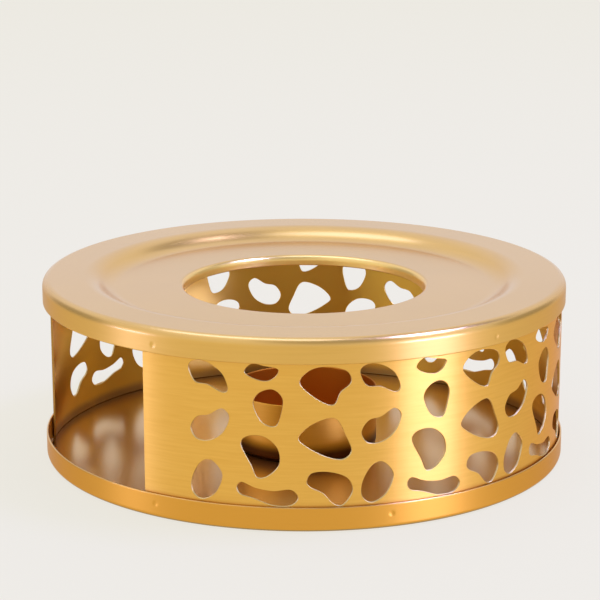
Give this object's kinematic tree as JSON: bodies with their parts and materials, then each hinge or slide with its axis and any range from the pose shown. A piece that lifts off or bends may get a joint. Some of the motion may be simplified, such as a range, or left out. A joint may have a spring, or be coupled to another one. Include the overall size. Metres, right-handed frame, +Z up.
{
  "type": "teapot warmer",
  "caption": "Round gold-coloured sheet-metal teapot warmer: a pebble-perforated wall between a dished top plate with a heat hole and a base pan, open at the side for a loose candle cup.",
  "frame": {"origin": "middle of the underside of the base pan, where it rests on the table", "axes": "+Z up, -Y out through the middle of the candle door"},
  "size_m": [0.133, 0.133, 0.046],
  "materials": {
    "gold_satin_steel": "gold-coloured, satin",
    "gold_brushed_steel": "gold-coloured, finely brushed along the strip",
    "gold_cup_steel": "gold-coloured, bright drawn",
    "weld_metal": "as welded"
  },
  "bodies": {
    "warmer": {"base_pan": "gold_satin_steel", "side_wall": "gold_brushed_steel", "top_plate": "gold_satin_steel", "base_spot_welds": "weld_metal", "top_spot_welds": "weld_metal"},
    "cup": {"candle_cup": "gold_cup_steel"}
  },
  "joints": [
    {"name": "cup_draw", "type": "slide", "parent": "warmer", "child": "cup", "axis": [0, -0.9877, 0.1564], "range_m": [0, 0.105]}
  ]
}
